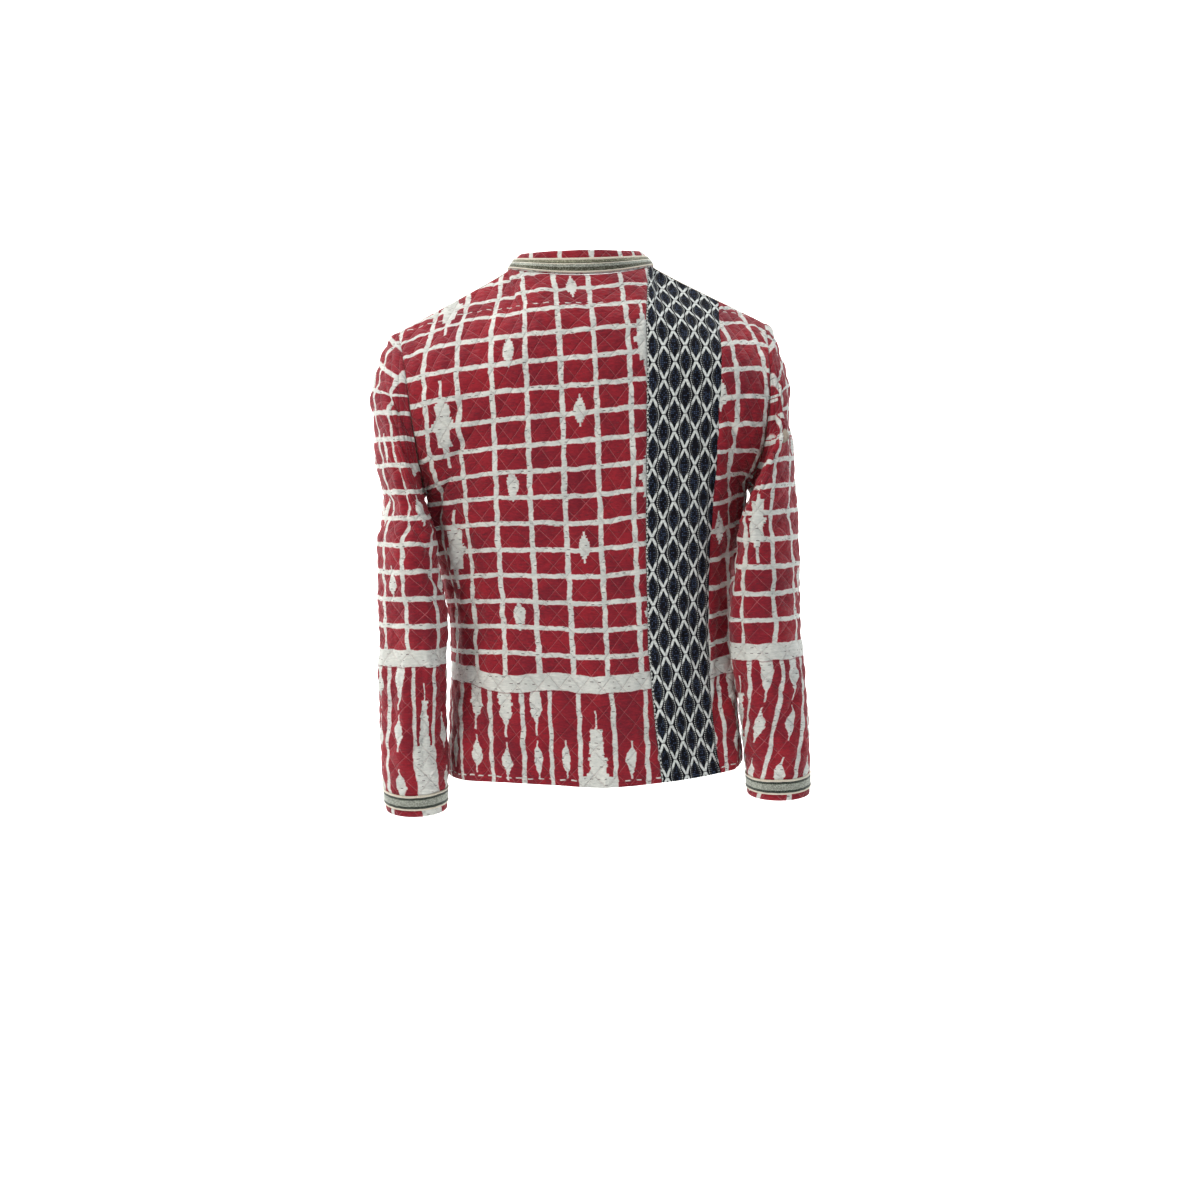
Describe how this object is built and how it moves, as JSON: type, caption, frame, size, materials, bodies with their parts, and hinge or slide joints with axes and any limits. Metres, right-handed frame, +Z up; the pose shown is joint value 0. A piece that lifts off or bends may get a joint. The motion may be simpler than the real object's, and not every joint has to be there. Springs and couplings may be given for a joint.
{
  "type": "patchwork jacket",
  "caption": "Hip-length quilted patchwork jacket in its worn shape, open and hollow, with a woven strip let into the back, a stand collar and braid round collar and cuffs.",
  "frame": {"origin": "middle of the neck opening, at the height where the collar meets the shoulder seams", "axes": "+Z up; the back faces -Y and the front opening +Y; the wearer's right arm is on +X"},
  "size_m": [0.4981, 0.2703, 0.6373],
  "materials": {
    "quilted_cotton": "matte quilted cotton, crimson with an off-white grid",
    "woven_strip": "matte woven cotton, near-black and white lozenges",
    "braid": "woven metallic braid, olive and silver"
  },
  "bodies": {
    "root": {"back_main": "quilted_cotton", "back_strip": "woven_strip", "back_side": "quilted_cotton", "front_left": "quilted_cotton", "front_right": "quilted_cotton", "sleeve_left": "quilted_cotton", "sleeve_right": "quilted_cotton", "collar_band": "quilted_cotton", "collar_braid": "braid", "cuff_braid_left": "braid", "cuff_braid_right": "braid"}
  },
  "joints": []
}
